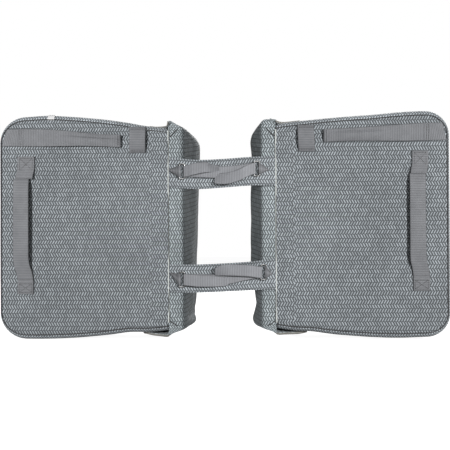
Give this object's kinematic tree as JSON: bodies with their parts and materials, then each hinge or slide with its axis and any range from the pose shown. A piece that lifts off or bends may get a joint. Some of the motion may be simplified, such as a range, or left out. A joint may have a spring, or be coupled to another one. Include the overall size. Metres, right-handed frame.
{
  "type": "double pannier bag",
  "caption": "Pair of soft pannier bags with lid hoods and flaps, joined by two fabric bands with rings and carrier straps, spread flat with the back panels facing out.",
  "frame": {"origin": "middle of the bridge, on the face of the two bands that lies on the carrier", "axes": "+X from the left bag to the right bag, +Y from the bands' carrier side into the depth of the bags, +Z from the bags' aft edge to their fore edge"},
  "size_m": [0.76, 0.1636, 0.3785],
  "materials": {
    "shell_fabric": "coated polyester with a woven herringbone print",
    "webbing": "fine ribbed polyester webbing",
    "ring_metal": "dark nickel plated wire",
    "board": "polyethylene stiffening board",
    "foam": "closed cell foam",
    "lining": "thin coated lining cloth",
    "piping": "pale piping cord",
    "hook_and_loop": "hook and loop tape",
    "reflective": "retroreflective tape"
  },
  "bodies": {
    "bridge": {"fore_band": "shell_fabric", "aft_band": "shell_fabric", "ring_tabs": "webbing", "fore_carrier_strap": "webbing", "aft_carrier_strap": "webbing"},
    "left_bag": {"left_back_panel": "shell_fabric", "left_outer_panel": "shell_fabric", "left_fore_gusset": "shell_fabric", "left_aft_gusset": "shell_fabric", "left_base_panel": "shell_fabric", "left_back_board": "board", "left_outer_foam": "foam", "left_base_board": "board", "left_liner": "lining", "left_seam_facing": "shell_fabric", "left_lid_strip": "shell_fabric", "left_seam_piping": "piping", "left_loop_patches": "hook_and_loop", "left_strap_sewn_ends": "webbing", "left_lower_strap_tab": "webbing", "left_strap_keeper": "webbing", "left_side_reflector": "reflective"},
    "left_lid": {"left_lid_hood": "shell_fabric"},
    "left_flap": {"left_flap": "shell_fabric", "left_hook_patches": "hook_and_loop", "left_flap_reflector": "reflective", "left_pull_tab": "webbing"},
    "left_stay_strap": {"left_stay_strap": "webbing"},
    "left_lower_strap": {"left_lower_strap": "webbing"},
    "right_bag": {"right_back_panel": "shell_fabric", "right_outer_panel": "shell_fabric", "right_fore_gusset": "shell_fabric", "right_aft_gusset": "shell_fabric", "right_base_panel": "shell_fabric", "right_back_board": "board", "right_outer_foam": "foam", "right_base_board": "board", "right_liner": "lining", "right_seam_facing": "shell_fabric", "right_lid_strip": "shell_fabric", "right_seam_piping": "piping", "right_loop_patches": "hook_and_loop", "right_strap_sewn_ends": "webbing", "right_lower_strap_tab": "webbing", "right_strap_keeper": "webbing"},
    "right_lid": {"right_lid_hood": "shell_fabric"},
    "right_flap": {"right_flap": "shell_fabric", "right_hook_patches": "hook_and_loop", "right_flap_reflector": "reflective", "right_pull_tab": "webbing"},
    "right_stay_strap": {"right_stay_strap": "webbing"},
    "right_lower_strap": {"right_lower_strap": "webbing"},
    "fore_left_ring": {"fore_left_ring": "ring_metal"},
    "fore_left_strap_end": {"fore_left_strap_end": "webbing"},
    "fore_right_ring": {"fore_right_ring": "ring_metal"},
    "fore_right_strap_end": {"fore_right_strap_end": "webbing"},
    "aft_left_ring": {"aft_left_ring": "ring_metal"},
    "aft_left_strap_end": {"aft_left_strap_end": "webbing"},
    "aft_right_ring": {"aft_right_ring": "ring_metal"},
    "aft_right_strap_end": {"aft_right_strap_end": "webbing"}
  },
  "joints": [
    {"name": "left_bag_fold", "type": "hinge", "parent": "bridge", "child": "left_bag", "pos_m": [-0.091, 0.001, 0], "axis": [0, 0, 1], "range_deg": [0, 90]},
    {"name": "left_lid_hinge", "type": "hinge", "parent": "left_bag", "child": "left_lid", "pos_m": [-0.071, 0.006, 0], "axis": [0, 0, -1], "range_deg": [0, 40]},
    {"name": "left_flap_hinge", "type": "hinge", "parent": "left_lid", "child": "left_flap", "pos_m": [-0.062, 0.1552, 0], "axis": [0, 0, -1], "range_deg": [0, 150]},
    {"name": "left_stay_strap_fold", "type": "hinge", "parent": "left_bag", "child": "left_stay_strap", "pos_m": [-0.338, 0.0002, 0], "axis": [0, 0, -1], "range_deg": [0, 160]},
    {"name": "left_lower_strap_fold", "type": "hinge", "parent": "left_bag", "child": "left_lower_strap", "pos_m": [-0.335, 0.0002, -0.09], "axis": [1, 0, 0], "range_deg": [0, 150]},
    {"name": "right_bag_fold", "type": "hinge", "parent": "bridge", "child": "right_bag", "pos_m": [0.091, 0.001, 0], "axis": [0, 0, -1], "range_deg": [0, 90]},
    {"name": "right_lid_hinge", "type": "hinge", "parent": "right_bag", "child": "right_lid", "pos_m": [0.071, 0.006, 0], "axis": [0, 0, 1], "range_deg": [0, 40]},
    {"name": "right_flap_hinge", "type": "hinge", "parent": "right_lid", "child": "right_flap", "pos_m": [0.062, 0.1552, 0], "axis": [0, 0, 1], "range_deg": [0, 150]},
    {"name": "right_stay_strap_fold", "type": "hinge", "parent": "right_bag", "child": "right_stay_strap", "pos_m": [0.338, 0.0002, 0], "axis": [0, 0, 1], "range_deg": [0, 160]},
    {"name": "right_lower_strap_fold", "type": "hinge", "parent": "right_bag", "child": "right_lower_strap", "pos_m": [0.335, 0.0002, -0.086], "axis": [1, 0, 0], "range_deg": [0, 150]},
    {"name": "fore_left_ring_tilt", "type": "hinge", "parent": "bridge", "child": "fore_left_ring", "pos_m": [-0.0715, -0.0034, 0.093], "axis": [0, 0, -1], "range_deg": [0, 20]},
    {"name": "fore_left_strap_swing", "type": "hinge", "parent": "fore_left_ring", "child": "fore_left_strap_end", "pos_m": [-0.0625, -0.0034, 0.093], "axis": [0, 0, -1], "range_deg": [0, 68]},
    {"name": "fore_right_ring_tilt", "type": "hinge", "parent": "bridge", "child": "fore_right_ring", "pos_m": [0.064, -0.0034, 0.0965], "axis": [0, 0, 1], "range_deg": [0, 20]},
    {"name": "fore_right_strap_swing", "type": "hinge", "parent": "fore_right_ring", "child": "fore_right_strap_end", "pos_m": [0.055, -0.0034, 0.0965], "axis": [0, 0, 1], "range_deg": [0, 68]},
    {"name": "aft_left_ring_tilt", "type": "hinge", "parent": "bridge", "child": "aft_left_ring", "pos_m": [-0.0725, -0.0034, -0.09], "axis": [0, 0, -1], "range_deg": [0, 20]},
    {"name": "aft_left_strap_swing", "type": "hinge", "parent": "aft_left_ring", "child": "aft_left_strap_end", "pos_m": [-0.0635, -0.0034, -0.09], "axis": [0, 0, -1], "range_deg": [0, 68]},
    {"name": "aft_right_ring_tilt", "type": "hinge", "parent": "bridge", "child": "aft_right_ring", "pos_m": [0.074, -0.0034, -0.078], "axis": [0, 0, 1], "range_deg": [0, 20]},
    {"name": "aft_right_strap_swing", "type": "hinge", "parent": "aft_right_ring", "child": "aft_right_strap_end", "pos_m": [0.065, -0.0034, -0.078], "axis": [0, 0, 1], "range_deg": [0, 68]}
  ]
}
